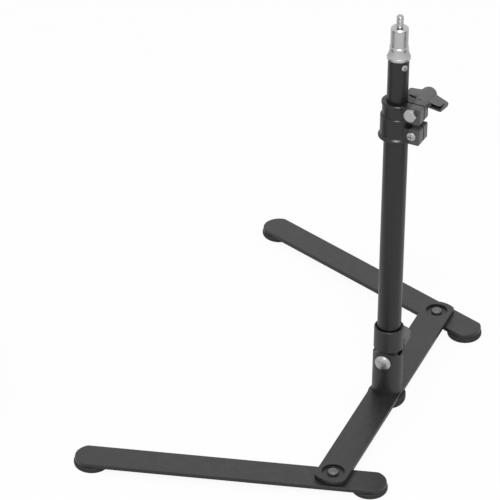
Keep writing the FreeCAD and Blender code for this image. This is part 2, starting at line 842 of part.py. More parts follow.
def guide_bush():
    """The plastic bush under the upper tube that runs in the lower tube."""
    body = new_body("guide_bush")
    low = size("upper_tube_low")
    outer = size("lower_tube_bore") - size("running_play")
    plug = size("upper_tube_bore") - size("running_play")
    foot = low - size("bush_height")
    turned(body, "plug", [
        (plug - 2, foot), (outer - 0.8, foot), (outer, foot + 0.8), (outer, low), (plug, low),
        (plug, low + size("bush_plug_height") - 1), (plug - 1, low + size("bush_plug_height")),
        (plug - 2, low + size("bush_plug_height")),
    ])


def spigot():
    """The 5/8 inch mounting spigot with its collar and the shank inside the upper tube."""
    body = new_body("spigot")
    shank = size("upper_tube_bore") - 0.02
    tube_top = size("upper_tube_top")
    collar = size("collar_radius")
    waist = size("collar_neck_radius")
    lip = size("collar_lip_radius")
    pin_radius = size("spigot_radius")
    chamfer = size("spigot_chamfer")
    top = size("spigot_top")
    turned(body, "blank", [
        (ZERO, size("spigot_low")), (shank - 0.6, size("spigot_low")), (shank, size("spigot_low") + 0.6),
        (shank, tube_top), (collar - 0.4, tube_top), (collar, size("collar_low")),
        (collar, size("collar_high")), (collar - 0.5, size("collar_high") + 0.8),
        (waist, size("collar_neck_low")), (lip, size("collar_neck_low") + 2.5),
        (lip, size("collar_top") - 0.6), (lip - 0.5, size("collar_top")), (pin_radius, size("collar_top")),
        (pin_radius, top - chamfer), (pin_radius - chamfer, top), (ZERO, top),
    ])
    tap = new_sketch(body, "stud_tap", "XY_Plane", top)
    draw_circle(tap, size("stud_core_radius"))
    pocket(body, "stud_bore", tap, top - size("stud_low"))
    hole = new_sketch(body, "screw_hole", "YZ_Plane", size("upper_tube_radius"))
    draw_circle(hole, size("spigot_screw_radius"), (ZERO, size("spigot_screw_height")))
    pocket(body, "screw_tap", hole, size("spigot_screw_length"))
    place(body, angle=size("spigot_screw_angle"))


def threaded_stud():
    """The 1/4 inch stud in the top of the spigot, with a thinner end screwed into it."""
    body = new_body("threaded_stud")
    radius = size("stud_radius")
    core = size("stud_core_radius")
    low = size("stud_low")
    seat = size("spigot_top")
    top = size("stud_top")
    turned(body, "rod", [
        (ZERO, low), (core - 0.5, low), (core, low + 0.5), (core, seat), (radius, seat),
        (radius, top - 0.7), (radius - 0.7, top), (ZERO, top),
    ])


def spigot_screw():
    """The small screw through the upper tube's wall that keeps the spigot in."""
    body = new_body("spigot_screw")
    pan_screw(body, size("spigot_screw_radius"), size("spigot_screw_length") - 0.3, size("spigot_screw_head"),
              size("spigot_screw_head_height"))
    reach = size("upper_tube_radius")
    turn = size("spigot_screw_angle")
    place(body, x=reach * cosine(turn), y=reach * sine(turn), z=size("spigot_screw_height"))
    outward = FreeCAD.Vector(cosine(turn).number, sine(turn).number, 0)
    body.Placement = FreeCAD.Placement(body.Placement.Base,
                                       FreeCAD.Rotation(FreeCAD.Vector(0, 0, 1), outward))


# ---------------------------------------------------------------- clamp

def clamp_body():
    """The stepped collar that grips both tubes, with two pairs of ears towards +X."""
    body = new_body("clamp_body")
    low = size("clamp_low")
    lip = size("clamp_lip_radius")
    ring = size("clamp_ring_radius")
    neck = size("clamp_neck_radius")
    rim = size("clamp_rim_radius")
    step = size("clamp_step")
    top = size("clamp_top")
    turned(body, "collar", [
        (ZERO, low), (lip - 0.6, low), (lip, low + 0.6), (lip, size("clamp_lip_top") - 0.9),
        (ring, size("clamp_lip_top") + 0.6), (ring, step - 0.6), (ring - 0.6, step), (neck, step),
        (neck, size("clamp_rim_low")), (rim, size("clamp_rim_low") + 0.6), (rim, top - 0.7),
        (rim - 0.7, top), (ZERO, top),
    ])
    for name, bottom, height in (("lower_ears", size("lower_ear_low"), size("lower_ear_high")),
                                 ("upper_ears", size("upper_ear_low"), top)):
        sketch = new_sketch(body, name, "XY_Plane", bottom)
        draw_rectangle(sketch, (ZERO, -size("ear_half")), (size("ear_reach"), size("ear_half")))
        pad(body, name + "_pad", sketch, height - bottom)
    dress(body, "Fillet", "ear_edges", outer_ear_edge, size("ear_round"))
    clamp_bores(body, low, top)
    slot = new_sketch(body, "slot", "XY_Plane", top)
    draw_rectangle(slot, (ZERO, -size("ear_slot_half")), (size("ear_reach") + 1, size("ear_slot_half")))
    pocket(body, "slot_cut", slot)
    for name, radius, out, height in (
            ("bolt", size("clamp_bolt_radius"), size("clamp_bolt_out"), size("clamp_bolt_height")),
            ("screw", size("sleeve_screw_radius"), size("sleeve_screw_out"), size("sleeve_screw_height"))):
        hole = new_sketch(body, name + "_hole", "XZ_Plane")
        draw_circle(hole, radius + size("hole_play"), (out, height))
        pocket(body, name + "_bore", hole, size("ear_half") * 3, symmetric=True)
    place(body, angle=size("clamp_turn"))


def outer_ear_edge(edge):
    """The four edges round the end face of each pair of ears."""
    box = edge.BoundBox
    return box.XMin > size("ear_reach").number - 0.01


def clamp_bores(body, low, top):
    """Stepped bore: the lower tube sits in the wide part, the upper tube slides in the narrow part."""
    shoulder = size("clamp_shoulder")
    wide = size("lower_tube_radius")
    narrow = size("upper_tube_radius") + size("running_play")
    turned(body, "bore", [
        (ZERO, low - 1), (wide, low - 1), (wide, shoulder), (narrow, shoulder), (narrow, top + 1),
        (ZERO, top + 1),
    ], "Groove")


def place_on_clamp(body, out, height, along, facing):
    """Put a fastener on the clamp's ears: along is its distance from the slot, facing its head's side."""
    turn = size("clamp_turn")
    x = out * cosine(turn) - along * sine(turn)
    y = out * sine(turn) + along * cosine(turn)
    place(body, x=x, y=y, z=height)
    upright = FreeCAD.Rotation(FreeCAD.Vector(1, 0, 0), 90.0 * facing)
    around = FreeCAD.Rotation(FreeCAD.Vector(0, 0, 1), turn.number)
    body.Placement = FreeCAD.Placement(body.Placement.Base, around.multiply(upright))


def clamp_bolt():
    """The hexagon bolt through the upper ears."""
    body = new_body("clamp_bolt")
    flats = size("clamp_hex_flats")
    height = size("clamp_hex_height")
    hexagon = new_sketch(body, "hexagon")
    draw_hexagon(hexagon, flats)
    pad(body, "head", hexagon, height)
    corner = flats / (2 * COSINE_30)
    dome = size("clamp_hex_dome")
    turned(body, "dome_cut", [
        (corner - dome * 1.6, height + 0.01), (corner + 1, height + 0.01), (corner + 1, height - dome * 1.6),
        (corner - dome * 0.4, height - dome * 0.7),
    ], "Groove")
    shank = new_sketch(body, "shank")
    draw_circle(shank, size("clamp_bolt_radius"))
    pad(body, "shank_pad", shank, size("ear_half") + size("clamp_bolt_reach"), backwards=True)
    place_on_clamp(body, size("clamp_bolt_out"), size("clamp_bolt_height"), -size("ear_half"), 1)


def clamp_washer():
    body = new_body("clamp_washer")
    washer(body, size("clamp_washer_radius"), size("clamp_bolt_radius") + size("hole_play"),
           size("clamp_washer_height"))
    place_on_clamp(body, size("clamp_bolt_out"), size("clamp_bolt_height"), size("ear_half"), -1)


def place_clamp_knob(body):
    foot = size("ear_half") + size("clamp_washer_height") + size("knob_play")
    place_on_clamp(body, size("clamp_bolt_out"), size("clamp_bolt_height"), foot, -1)


def clamp_knob():
    """A two-winged knob on the clamp bolt, axis on Z with its foot at height 0."""
    body = new_body("clamp_knob")
    root = new_sketch(body, "wing_root", "YZ_Plane")
    half = size("wing_root_half")
    draw_rectangle(root, (-half, size("wing_low")), (half, size("wing_high")))
    tip = new_sketch(body, "wing_tip", "YZ_Plane", size("wing_half_length"))
    half = size("wing_tip_half")
    droop = size("wing_droop")
    draw_rectangle(tip, (droop - half, size("wing_tip_low")), (droop + half, size("wing_tip_high")))
    wing = body.newObject("PartDesign::AdditiveLoft", "clamp_knob_wing")
    wing.Profile = root
    wing.Sections = [tip]
    wing.Ruled = True
    doc.recompute()
    pair = body.newObject("PartDesign::Mirrored", "clamp_knob_wings")
    pair.Originals = [wing]
    pair.MirrorPlane = (origin_plane(body, "YZ_Plane"), [""])
    body.Tip = pair
    doc.recompute()
    reach = size("wing_half_length").number
    dress(body, "Fillet", "wing_tips", lambda edge: min(abs(edge.BoundBox.XMin), abs(edge.BoundBox.XMax))
          > reach - 0.01, size("wing_round"))
    hub = size("knob_hub_radius")
    top = size("clamp_knob_height")
    turned(body, "hub", [
        (ZERO, ZERO), (hub - 0.4, ZERO), (hub, length(0.4)), (hub, top - 3.2), (hub - 0.9, top - 1.3),
        (hub - 2.6, top - 0.3), (hub - 4.2, top), (ZERO, top),
    ])
    knob_blank_bores(body)
    place_clamp_knob(body)
    turn = FreeCAD.Rotation(FreeCAD.Vector(0, 0, 1), size("wing_turn").number)
    body.Placement = FreeCAD.Placement(body.Placement.Base, body.Placement.Rotation.multiply(turn))


def sleeve_screw():
    """The cross-head screw through the lower ears, which fixes the clamp on the lower tube."""
    body = new_body("sleeve_screw")
    reach = size("ear_half") * 2 + size("sleeve_nut_height")
    pan_screw(body, size("sleeve_screw_radius"), reach, size("sleeve_head_radius"),
              size("sleeve_head_height"))
    place_on_clamp(body, size("sleeve_screw_out"), size("sleeve_screw_height"), -size("ear_half"), 1)


def sleeve_nut():
    body = new_body("sleeve_nut")
    hex_nut(body, size("sleeve_nut_flats"), size("sleeve_nut_height"), size("sleeve_screw_radius"))
    place_on_clamp(body, size("sleeve_screw_out"), size("sleeve_screw_height"), size("ear_half"), -1)


# ---------------------------------------------------------------- the whole stand

base_bar()
centre_foot()
base_screw()
pivot_fasteners()
heel, tip = foot_places()
for name, side in (("front_leg", -1), ("rear_leg", 1)):
    angle = size(name + "_angle")
    leg(name, side, angle)
    leg_foot(name + "_heel_foot", side, angle, heel)
    leg_foot(name + "_end_foot", side, angle, tip)
    leg_foot_screws(name + "_foot_screws", side, angle)
lower_knuckle()
upper_knuckle()
tilt_bolt()
tilt_washer()
tilt_knob()
knob_insert("tilt_knob_insert", place_tilt_knob)
lower_tube()
clamp_body()
clamp_bolt()
clamp_washer()
clamp_knob()
knob_insert("clamp_knob_insert", place_clamp_knob)
sleeve_screw()
sleeve_nut()
guide_bush()
upper_tube()
spigot()
threaded_stud()
spigot_screw()
doc.recompute()

for thing in doc.Objects:
    if "Invalid" in thing.State or "Error" in thing.State:
        raise RuntimeError("%s failed: %s" % (thing.Label, thing.State))
for node in NODES:
    if node.Shape.isNull() or not node.Shape.isValid():
        raise RuntimeError(node.Label + " has no valid shape")

os.makedirs("parts", exist_ok=True)
for node in NODES:
    node.Shape.exportStep("parts/%s.step" % node.Label)
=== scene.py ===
import json
import math

import bmesh
import bpy
from mathutils import Matrix, Vector

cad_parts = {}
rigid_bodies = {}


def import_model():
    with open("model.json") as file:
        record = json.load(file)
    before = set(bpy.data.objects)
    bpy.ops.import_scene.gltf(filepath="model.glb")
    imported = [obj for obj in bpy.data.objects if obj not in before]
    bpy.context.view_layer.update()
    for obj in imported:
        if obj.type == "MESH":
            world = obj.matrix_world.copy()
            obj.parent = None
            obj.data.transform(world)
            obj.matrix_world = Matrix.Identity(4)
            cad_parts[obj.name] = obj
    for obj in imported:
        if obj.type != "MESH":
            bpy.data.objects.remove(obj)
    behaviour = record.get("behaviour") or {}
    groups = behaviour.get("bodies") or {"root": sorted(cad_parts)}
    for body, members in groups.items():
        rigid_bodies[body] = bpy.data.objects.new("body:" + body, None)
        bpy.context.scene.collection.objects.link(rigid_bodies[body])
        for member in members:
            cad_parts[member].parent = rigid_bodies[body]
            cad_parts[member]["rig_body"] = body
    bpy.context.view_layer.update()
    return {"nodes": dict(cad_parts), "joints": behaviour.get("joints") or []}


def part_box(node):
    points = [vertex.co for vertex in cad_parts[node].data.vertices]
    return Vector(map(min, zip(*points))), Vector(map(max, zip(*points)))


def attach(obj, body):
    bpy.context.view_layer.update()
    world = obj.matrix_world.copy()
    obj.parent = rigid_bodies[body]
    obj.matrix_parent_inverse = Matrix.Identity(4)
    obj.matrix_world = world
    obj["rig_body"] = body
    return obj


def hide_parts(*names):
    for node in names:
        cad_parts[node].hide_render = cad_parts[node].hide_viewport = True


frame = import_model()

# Looks for the folding tabletop light stand.  Metres.  The origin is on the floor under the post,
# +Z is up, the base bar lies along Y, and the legs reach towards -X.

MM = 0.001

# The floor's paleness as the object sees it, and the level of light from all round.
FLOOR_TONE = 0.62
STUDIO_LEVEL = 1.25
# The share of plain white in the floor as the camera sees it; the rest is the lit floor.
FLOOR_WHITENESS = 0.94
# Dark patches on the floor at both sides, in metres, that the bright metal at the top mirrors.  A camera
# that has one in view sees it only as a faint grey smudge.  Each is dark within FLAG_INNER of its centre
# and gone beyond FLAG_OUTER.
DARK_FLAGS = [(0.66, 0.07, 0.0), (-0.6, -0.24, 0.0)]
FLAG_TONE = 0.06
FLAG_INNER = 0.12
FLAG_OUTER = 0.32

# The clamp knob in its own frame: millimetres and degrees, axis on Z, foot at 0, wings along X.
WING_REACH = 19.8
WING_TURN = 12.0
WING_DROOP = 1.2
LEFT_WING_DROOP = 2.64
LEFT_WING_SHARE = 0.94
WING_ROOT_HALF = 6.3
WING_TIP_HALF = 3.0
WING_NEAR = 5.6
WING_FAR = 20.6
WING_LEAN = 0.12
WING_SLANT = 1.4
WING_TIP_ROUND = 2.6
# How far the near and far faces draw in towards a tip.
NEAR_DRAW = 0.6
FAR_DRAW = 0.6
LEFT_FAR_DRAW = 1.6
# The section is a circle pushed out this far towards a square.
WING_SQUARENESS = 0.86
# The hub's outline as radius and height.
HUB_PROFILE = [
    (5.9, 0), (6.3, 0.5), (6.5, 3), (7.0, 8), (7.7, 14), (7.7, 20), (6.7, 23), (4.8, 24.8), (2.4, 25.4),
    (0.3, 25.5),
]
# Each hollow: its two ends along the wings, its two sides across them, and its depth from the foot.
WING_HOLLOWS = [(7.6, 18.2, -2.0, 3.3, 14.0), (-13.2, -6.2, -1.0, 1.3, 14.0)]
# Room for the threaded insert, and for the bolt's end beyond it, as radius and height of the top.
KNOB_BORES = [(4.5, 10.0), (3.3, 21.0)]


# ---------------------------------------------------------------- helpers for materials

class Paint:
    """A material's node tree, with short ways to add and join nodes."""

    def __init__(self, name):
        self.material = bpy.data.materials.new(name)
        self.material.use_nodes = True
        self.nodes = self.material.node_tree.nodes
        self.links = self.material.node_tree.links
        self.shader = self.nodes["Principled BSDF"]
        self.place = self.nodes.new("ShaderNodeTexCoord").outputs["Object"]

    def put(self, socket, value):
        """Join an output to a socket, or write a plain value into it."""
        if hasattr(value, "is_linked"):
            self.links.new(value, socket)
        elif value is not None:
            socket.default_value = value

    def look(self, **inputs):
        """Set the shader's inputs; underscores stand for spaces."""
        for name, value in inputs.items():
            self.put(self.shader.inputs[name.replace("_", " ")], value)

    def stretched(self, x, y, z):
        """Object coordinates stretched along the three axes."""
        node = self.nodes.new("ShaderNodeMapping")
        self.put(node.inputs["Vector"], self.place)
        node.inputs["Scale"].default_value = (x, y, z)
        return node.outputs["Vector"]

    def noise(self, scale, detail=3.0, rough=0.5, place=None):
        """Soft random clouds from 0 to 1."""
        node = self.nodes.new("ShaderNodeTexNoise")
        self.put(node.inputs["Vector"], place or self.place)
        node.inputs["Scale"].default_value = scale
        node.inputs["Detail"].default_value = detail
        node.inputs["Roughness"].default_value = rough
        return node.outputs["Fac"]

    def cells(self, scale, place=None):
        """Small rounded cells, as distance from each cell's middle."""
        node = self.nodes.new("ShaderNodeTexVoronoi")
        self.put(node.inputs["Vector"], place or self.place)
        node.inputs["Scale"].default_value = scale
        return node.outputs["Distance"]

    def along_x(self):
        """Distance along X in metres."""
        node = self.nodes.new("ShaderNodeSeparateXYZ")
        self.put(node.inputs["Vector"], self.place)
        return node.outputs["X"]

    def near(self, centre, inner, outer):
        """1 within an inner distance of a point, falling to 0 at the outer distance."""
        node = self.nodes.new("ShaderNodeVectorMath")
        node.operation = "DISTANCE"
        self.put(node.inputs[0], self.place)
        node.inputs[1].default_value = centre
        return self.between(node.outputs["Value"], inner, outer, 1.0, 0.0)

    def between(self, value, low, high, out_low=0.0, out_high=1.0):
        """Map a value from one range to another, clamped."""
        node = self.nodes.new("ShaderNodeMapRange")
        self.put(node.inputs["Value"], value)
        ends = {"From Min": low, "From Max": high, "To Min": out_low, "To Max": out_high}
        for name, number in ends.items():
            node.inputs[name].default_value = number
        return node.outputs["Result"]

    def calculate(self, operation, first, second):
        """The result of one sum on two values."""
        node = self.nodes.new("ShaderNodeMath")
        node.operation = operation
        self.put(node.inputs[0], first)
        self.put(node.inputs[1], second)
        return node.outputs[0]

    def mix(self, share, first, second):
        """A colour between two colours."""
        node = self.nodes.new("ShaderNodeMix")
        node.data_type = "RGBA"
        self.put(node.inputs["Factor"], share)
        self.put(node.inputs["A"], first)
        self.put(node.inputs["B"], second)
        return node.outputs["Result"]

    def edges(self, low=0.51, high=0.6):
        """About 1 on sharp outer edges and 0 elsewhere."""
        node = self.nodes.new("ShaderNodeNewGeometry")
        return self.between(node.outputs["Pointiness"], low, high)

    def rounded(self, radius):
        """Normals that look softened at the edges."""
        node = self.nodes.new("ShaderNodeBevel")
        node.samples = 4
        node.inputs["Radius"].default_value = radius
        return node.outputs["Normal"]

    def bumps(self, height, strength, depth, normal=None):
        """Normals roughened by a height, on top of other normals if given."""
        node = self.nodes.new("ShaderNodeBump")
        node.inputs["Strength"].default_value = strength
        node.inputs["Distance"].default_value = depth
        self.put(node.inputs["Height"], height)
        self.put(node.inputs["Normal"], normal)
        return node.outputs["Normal"]


def grey(level, warmth=0.0):
    """A nearly neutral colour."""
    return (level * (1 + warmth), level, level * (1 - warmth), 1.0)


# ---------------------------------------------------------------- materials

def powder_coat(name, level):
    """Fine textured black powder coat on flat steel, a little paler where edges rub."""
    paint = Paint(name)
    clouds = paint.noise(22.0, 4.0, 0.6)
    grain = paint.noise(2600.0, 2.0, 0.6)
    pits = paint.between(paint.cells(900.0), 0.0, 0.35)
    tone = paint.mix(clouds, grey(level * 0.92), grey(level * 1.08))
    tone = paint.mix(paint.between(grain, 0.35, 0.7, 0.0, 0.35), tone, grey(level * 1.6))
    worn = paint.calculate("MULTIPLY", paint.edges(), paint.between(paint.noise(160.0), 0.4, 0.65))
    tone = paint.mix(paint.calculate("MULTIPLY", worn, 0.4), tone, grey(level * 3.0, 0.01))
    height = paint.calculate("ADD", paint.calculate("MULTIPLY", grain, 0.7),
                             paint.calculate("MULTIPLY", pits, 0.3))
    paint.look(Base_Color=tone, Roughness=paint.between(clouds, 0.3, 0.7, 0.34, 0.4), Specular_IOR_Level=0.5,
               Normal=paint.bumps(height, 0.2, 0.03 * MM, paint.rounded(0.25 * MM)))
    return paint.material


def black_tube(name, level):
    """Satin black anodised tube with faint drawing lines along it."""
    paint = Paint(name)
    lines = paint.noise(900.0, 2.0, 0.5, paint.stretched(1.0, 1.0, 0.012))
    clouds = paint.noise(35.0, 4.0, 0.6)
    dust = paint.between(paint.noise(1500.0, 1.0), 0.68, 0.74, 0.0, 0.12)
    tone = paint.mix(clouds, grey(level * 0.85), grey(level * 1.15))
    tone = paint.mix(dust, tone, grey(level * 5))
    rough = paint.between(paint.calculate("ADD", lines, clouds), 0.6, 1.4, 0.3, 0.42)
    paint.look(Base_Color=tone, Roughness=rough, Specular_IOR_Level=0.5,
               Normal=paint.bumps(lines, 0.12, 0.02 * MM, paint.rounded(0.3 * MM)))
    return paint.material


def moulded_plastic(name, level, roughness, grain_depth=0.04, edge_radius=0.35, painted_light_beyond=None):
    """Black plastic with a fine leathery skin, and painted light that makes it paler beyond a distance along
    X, standing for the light the faces there catch.

    grain_depth and edge_radius are in millimetres, painted_light_beyond in metres.
    """
    paint = Paint(name)
    leather = paint.cells(1500.0)
    swirl = paint.noise(60.0, 5.0, 0.65)
    tone = paint.mix(swirl, grey(level * 0.8), grey(level * 1.2))
    worn = paint.calculate("MULTIPLY", paint.edges(0.53, 0.66), 0.3)
    tone = paint.mix(worn, tone, grey(level * 2.5))
    # Painted light: beyond the given distance along X the tone is lifted towards a pale grey, standing for
    # the light those faces catch.
    if painted_light_beyond is not None:
        reach = paint.between(paint.along_x(), painted_light_beyond, painted_light_beyond + 2 * MM)
        tone = paint.mix(paint.calculate("MULTIPLY", reach, swirl), tone, grey(level * 16))
    rough = paint.between(swirl, 0.3, 0.7, roughness - 0.05, roughness + 0.06)
    paint.look(Base_Color=tone, Roughness=rough, Specular_IOR_Level=0.5,
               Normal=paint.bumps(leather, 0.25, grain_depth * MM, paint.rounded(edge_radius * MM)))
    return paint.material


def rubber(name):
    """Matt black rubber with a speckled skin and a little dust."""
    paint = Paint(name)
    speckle = paint.noise(1800.0, 3.0, 0.7)
    dust = paint.between(paint.noise(140.0, 4.0, 0.7), 0.55, 0.8, 0.0, 0.35)
    tone = paint.mix(dust, grey(0.016), grey(0.06, 0.02))
    rough = paint.between(speckle, 0.3, 0.7, 0.62, 0.8)
    paint.look(Base_Color=tone, Roughness=rough, Specular_IOR_Level=0.35,
               Normal=paint.bumps(speckle, 0.4, 0.06 * MM, paint.rounded(0.4 * MM)))
    return paint.material


def plated_steel(name, level, roughness=0.28):
    """Plated steel, slightly blotchy, with fine scratches."""
    paint = Paint(name)
    blotch = paint.noise(420.0, 4.0, 0.6)
    scratch = paint.noise(500.0, 2.0, 0.5, paint.stretched(1.0, 9.0, 1.0))
    dark = paint.between(paint.noise(800.0, 2.0), 0.6, 0.75, 0.0, 0.5)
    tone = paint.mix(blotch, grey(level * 0.85), grey(level * 1.12, 0.01))
    tone = paint.mix(dark, tone, grey(level * 0.55, 0.03))
    rough = paint.between(scratch, 0.3, 0.7, roughness - 0.06, roughness + 0.12)
    paint.look(Base_Color=tone, Metallic=1.0, Roughness=rough,
               Normal=paint.bumps(scratch, 0.15, 0.02 * MM, paint.rounded(0.2 * MM)))
    return paint.material


def turned_nickel(name):
    """Bright nickel plate over turned metal, with tool rings round the axis."""
    paint = Paint(name)
    rings = paint.noise(700.0, 2.0, 0.5, paint.stretched(0.02, 0.02, 1.0))
    blotch = paint.noise(180.0, 5.0, 0.65)
    tone = paint.mix(blotch, grey(0.42), grey(0.54, 0.01))
    stain = paint.between(paint.noise(600.0, 2.0), 0.62, 0.8, 0.0, 0.35)
    tone = paint.mix(stain, tone, grey(0.32, 0.02))
    paint.look(Base_Color=tone, Metallic=1.0, Roughness=paint.between(blotch, 0.3, 0.7, 0.24, 0.36),
               Normal=paint.bumps(rings, 0.2, 0.02 * MM, paint.rounded(0.25 * MM)))
    return paint.material


def brass(name):
    """Plain brass insert with turning marks."""
    paint = Paint(name)
    rings = paint.noise(900.0, 2.0)
    tone = paint.mix(rings, (0.62, 0.44, 0.2, 1.0), (0.8, 0.62, 0.32, 1.0))
    paint.look(Base_Color=tone, Metallic=1.0, Roughness=paint.between(rings, 0.3, 0.7, 0.25, 0.4),
               Normal=paint.bumps(rings, 0.2, 0.02 * MM))
    return paint.material


BAR = powder_coat("bar_powder_coat", 0.009)
TUBE = black_tube("anodised_tube", 0.003)
# The clamp's ears, beyond 15 mm along X, get painted light that makes them paler.
MOULDED = moulded_plastic("moulded_clamp", 0.005, 0.31, edge_radius=1.1, painted_light_beyond=15 * MM)
KNUCKLE = moulded_plastic("moulded_knuckle", 0.01, 0.42)
KNOB = moulded_plastic("moulded_knob", 0.07, 0.5, grain_depth=0.06)
RUBBER = rubber("foot_rubber")
STEEL = plated_steel("zinc_plated_steel", 0.44)
PIVOT = plated_steel("darkened_pivot_steel", 0.16, 0.36)
BLACK_STEEL = plated_steel("blackened_washer_steel", 0.2, 0.42)
NICKEL = turned_nickel("nickel_plate")
BRASS = brass("insert_brass")

FINISHES = {
    BAR: ("base_bar", "front_leg", "rear_leg"),
    TUBE: ("lower_tube", "upper_tube"),
    MOULDED: ("clamp_body", "guide_bush"),
    KNUCKLE: ("lower_knuckle", "upper_knuckle"),
    KNOB: ("clamp_knob", "tilt_knob"),
    RUBBER: ("centre_foot", "front_leg_heel_foot", "front_leg_end_foot", "rear_leg_heel_foot",
             "rear_leg_end_foot"),
    STEEL: ("knuckle_screw", "pivot_washers", "pivot_nuts", "front_leg_foot_screws",
            "rear_leg_foot_screws", "tilt_bolt", "clamp_bolt", "sleeve_screw", "sleeve_nut", "spigot_screw",
            "threaded_stud"),
    BLACK_STEEL: ("clamp_washer", "tilt_washer"),
    PIVOT: ("pivot_screws",),
    NICKEL: ("spigot",),
    BRASS: ("clamp_knob_insert", "tilt_knob_insert"),
}


def finish(thing, material):
    """Give a mesh its one material."""
    thing.data.materials.clear()
    thing.data.materials.append(material)


for material, names in FINISHES.items():
    for name in names:
        finish(frame["nodes"][name], material)


# ---------------------------------------------------------------- pieces with finer shape than the CAD

def new_piece(name, points, faces):
    """A mesh object from points in millimetres."""
    mesh = bpy.data.meshes.new(name)
    mesh.from_pydata([(x * MM, y * MM, z * MM) for x, y, z in points], [], faces)
    mesh.validate()
    piece = bpy.data.objects.new(name, mesh)
    bpy.context.scene.collection.objects.link(piece)
    return piece


def apply_modifiers(piece):
    """Bake a piece's modifiers into its mesh."""
    shaped = bpy.data.meshes.new_from_object(piece.evaluated_get(bpy.context.evaluated_depsgraph_get()))
    piece.modifiers.clear()
    piece.data = shaped


def tube_mesh(rings):
    """Points and faces of a closed skin over rings of points, capped at both ends."""
    around = len(rings[0])
    points = [point for ring in rings for point in ring]
    faces = []
    for level in range(len(rings) - 1):
        for step in range(around):
            turn = (step + 1) % around
            faces.append((level * around + step, level * around + turn, (level + 1) * around + turn,
                          (level + 1) * around + step))
    faces.append(tuple(reversed(range(around))))
    faces.append(tuple(range(len(points) - around, len(points))))
    return points, faces


def turned_mesh(profile, around=64):
    """A solid of revolution about Z; profile is pairs of radius and height, from low to high."""
    rings = []
    for radius, height in profile:
        angles = [2 * math.pi * step / around for step in range(around)]
        rings.append([(radius * math.cos(angle), radius * math.sin(angle), height) for angle in angles])
    return tube_mesh(rings)


def combine(piece, other, operation):
    """Add or cut one piece with another, which is then removed."""
    change = piece.modifiers.new("combine", "BOOLEAN")
    change.operation = operation
    change.object = other
    change.solver = "EXACT"
    apply_modifiers(piece)
    bpy.data.objects.remove(other)


def smooth_shading(piece, limit):
    """Smooth faces except across edges sharper than limit degrees."""
    for polygon in piece.data.polygons:
        polygon.use_smooth = True
    piece.data.set_sharp_from_angle(angle=math.radians(limit))


def melt(piece, grain, passes):
    """Blend a piece's parts into one soft moulded skin; grain is in millimetres."""
    remesh = piece.modifiers.new("remesh", "REMESH")
    remesh.mode = "VOXEL"
    remesh.voxel_size = grain * MM
    soften = piece.modifiers.new("soften", "SMOOTH")
    soften.factor = 0.5
    soften.iterations = passes
    apply_modifiers(piece)


def clean_skin(piece):
    """Cut faces into triangles and drop pairs that lie on each other, which boolean cuts can leave behind."""
    skin = bmesh.new()
    skin.from_mesh(piece.data)
    bmesh.ops.remove_doubles(skin, verts=skin.verts, dist=0.001 * MM)
    bmesh.ops.triangulate(skin, faces=skin.faces)
    sharing = {}
    for face in skin.faces:
        sharing.setdefault(frozenset(face.verts), []).append(face)
    doubled = [face for faces in sharing.values() if len(faces) > 1 for face in faces]
    bmesh.ops.delete(skin, geom=doubled, context="FACES")
    skin.to_mesh(piece.data)
    skin.free()


def stand_for(piece, node, material):
    """Show this piece instead of a CAD node, on the same body."""
    finish(piece, material)
    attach(piece, frame["nodes"][node]["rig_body"])
    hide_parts(node)


def knob_frame(turn):
    """From a knob's own frame, axis on Z and foot at 0, to the clamp knob's place; turn is about its axis."""
    joint = [joint for joint in frame["joints"] if joint["name"] == "clamp_knob_turn"][0]
    axis = Vector(joint["axis"]).normalized()
    point = Vector(joint["pos_m"])
    foot = min(vertex.co.dot(axis) for vertex in frame["nodes"]["clamp_knob"].data.vertices)
    place = point + axis * (foot - point.dot(axis))
    side = Vector((axis.y, -axis.x, 0.0))
    upright = Matrix((side, axis.cross(side), axis)).transposed().to_4x4()
    return Matrix.Translation(place) @ upright @ Matrix.Rotation(math.radians(turn), 4, "Z")


def wing_section(x):
    """Outline of the wings across X at x; the near faces lean, the tips slant and the ends are rounded."""
    share = min(abs(x) / WING_REACH, 1.0)
    side = 1 if x > 0 else -1
    half_thick = WING_ROOT_HALF - (WING_ROOT_HALF - WING_TIP_HALF) * share ** 0.6
    near = WING_NEAR + NEAR_DRAW * share
    far = WING_FAR - (FAR_DRAW if x > 0 else LEFT_FAR_DRAW) * share
    lean_start = 4.0
    lean = WING_LEAN * side * min(abs(x) / lean_start, 1.0)
    sag = (WING_DROOP if x > 0 else LEFT_WING_DROOP) * share
    stretch = 1.0 if x > 0 else LEFT_WING_SHARE
    tip = max(0.0, (abs(x) - WING_REACH + WING_TIP_ROUND) / WING_TIP_ROUND)
    squeeze = math.sqrt(max(0.0, 1 - 0.55 * tip * tip))
    middle = (near + far) / 2
    half_deep = (far - near) / 2 * (0.9 + 0.1 * squeeze)
    around = 32
    outline = []
    for step in range(around):
        angle = 2 * math.pi * (step + 0.5) / around
        across, along = math.cos(angle), math.sin(angle)
        square = WING_SQUARENESS / max(abs(across), abs(along)) + 1 - WING_SQUARENESS
        y = half_thick * squeeze * across * square
        depth = along * square
        z = middle + half_deep * depth + lean * y * (0.5 - 0.5 * depth)
        slant = WING_SLANT * share * share * (1 - depth) / 2
        outline.append(((x - side * slant) * stretch, y + sag, z))
    return outline


